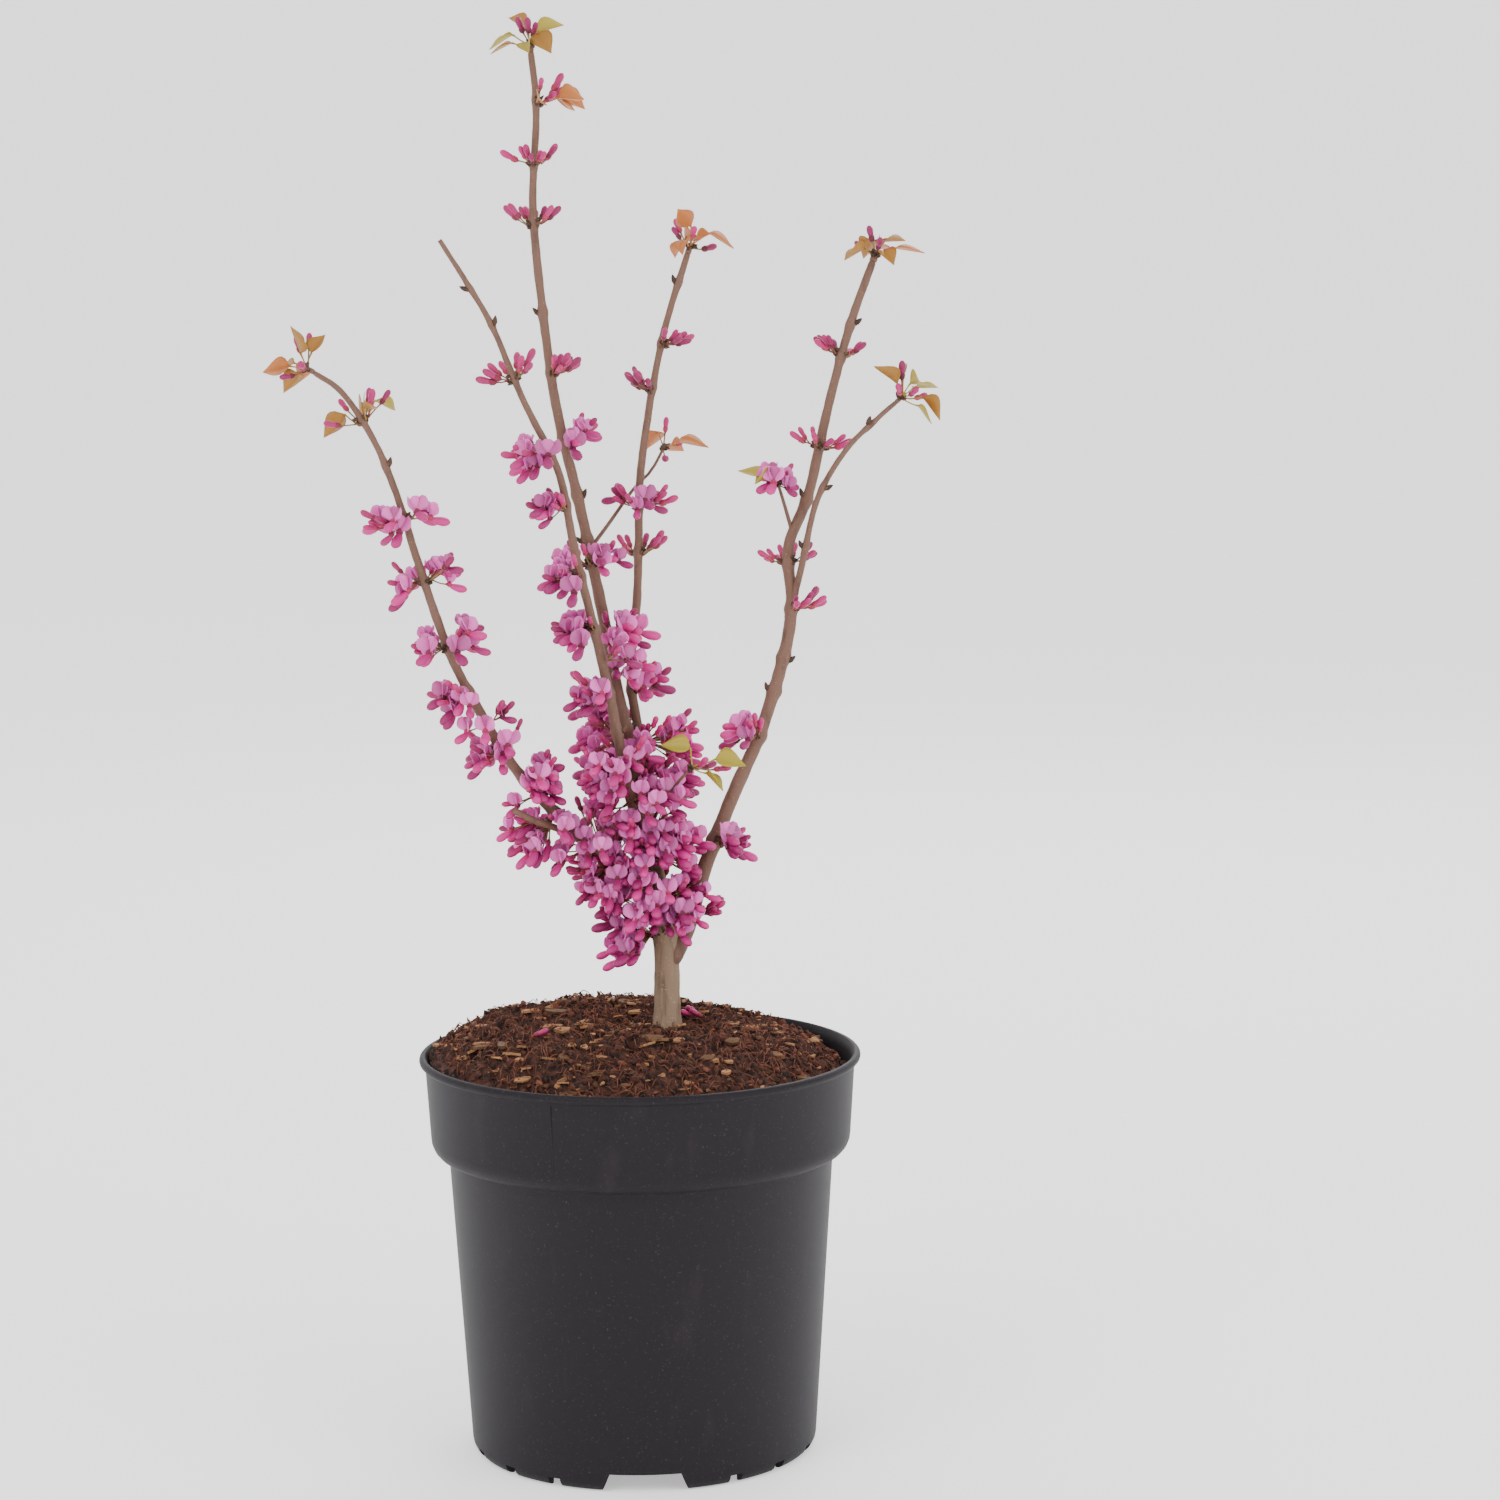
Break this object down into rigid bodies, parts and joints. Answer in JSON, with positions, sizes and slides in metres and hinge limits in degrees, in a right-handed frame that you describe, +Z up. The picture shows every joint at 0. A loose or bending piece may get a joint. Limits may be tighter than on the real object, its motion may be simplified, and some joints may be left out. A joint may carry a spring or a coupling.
{
  "type": "avondale_chinese_redbud",
  "caption": "Young Chinese redbud in flower: bare branching stems set with magenta pea-like blossom and a few bronze leaves, in a round black nursery pot of peaty compost.",
  "frame": {"origin": "middle of the flat disc under the pot, on the surface that the pot stands on", "axes": "+Z up along the pot's axis, -Y the front of the plant as pictured, +X to the right in the picture"},
  "size_m": [0.2849, 0.1904, 0.615],
  "materials": {
    "pot_plastic": "satin charcoal-black moulded plastic, slightly dusty",
    "peaty_compost": "rough reddish-brown peat fibre with bark chips",
    "trunk_bark": "matt tan-grey bark with fine upright streaks",
    "bough_bark": "matt pinkish-brown young bark with pale dots and darker swollen nodes",
    "magenta_blossom": "soft satin magenta-pink petals, paler on the upright petals, dark red at the calyx",
    "young_leaf": "thin satin young leaves, bronze to yellow-green"
  },
  "bodies": {
    "root": {"crossing_twig": "young_leaf", "cut_stub": "bough_bark", "front_stem": "bough_bark", "front_stem_blossom_1": "magenta_blossom", "front_stem_blossom_2": "magenta_blossom", "front_stem_blossom_3": "magenta_blossom", "front_stem_blossom_4": "magenta_blossom", "front_stem_blossom_5": "magenta_blossom", "front_stem_blossom_6": "magenta_blossom", "front_stem_blossom_7": "magenta_blossom", "leader_bough": "bough_bark", "leader_bough_blossom_1": "magenta_blossom", "leader_bough_blossom_2": "magenta_blossom", "leader_bough_blossom_3": "magenta_blossom", "leader_bough_blossom_4": "magenta_blossom", "leader_bough_blossom_5": "magenta_blossom", "leader_bough_blossom_6": "magenta_blossom", "leader_bough_blossom_7": "magenta_blossom", "leader_bough_blossom_8": "magenta_blossom", "leader_bough_leaves_10": "young_leaf", "leader_bough_leaves_9": "young_leaf", "leaf_twig": "young_leaf", "left_bough": "bough_bark", "left_bough_blossom_1": "magenta_blossom", "left_bough_blossom_2": "magenta_blossom", "left_bough_blossom_3": "magenta_blossom", "left_bough_blossom_4": "magenta_blossom", "left_bough_blossom_5": "magenta_blossom", "left_bough_blossom_6": "magenta_blossom", "left_bough_blossom_7": "magenta_blossom", "left_bough_blossom_8": "magenta_blossom", "left_bough_leaves_10": "young_leaf", "left_bough_leaves_9": "young_leaf", "middle_stem": "bough_bark", "middle_stem_blossom_1": "magenta_blossom", "middle_stem_blossom_2": "magenta_blossom", "middle_stem_blossom_3": "magenta_blossom", "middle_stem_blossom_4": "magenta_blossom", "middle_stem_blossom_5": "magenta_blossom", "middle_stem_blossom_6": "magenta_blossom", "middle_stem_leaves_7": "young_leaf", "pot": "pot_plastic", "right_bough": "bough_bark", "right_bough_blossom_1": "magenta_blossom", "right_bough_blossom_2": "magenta_blossom", "right_bough_blossom_3": "magenta_blossom", "right_bough_blossom_4": "magenta_blossom", "right_bough_blossom_5": "magenta_blossom", "right_bough_blossom_6": "magenta_blossom", "right_bough_blossom_7": "magenta_blossom", "right_bough_leaves_8": "young_leaf", "right_fork": "bough_bark", "right_fork_leaves_1": "young_leaf", "right_spur": "young_leaf", "soil": "peaty_compost", "trunk": "trunk_bark", "trunk_blossom_1": "magenta_blossom", "trunk_blossom_2": "magenta_blossom", "trunk_blossom_3": "magenta_blossom", "trunk_blossom_4": "magenta_blossom"}
  },
  "joints": []
}
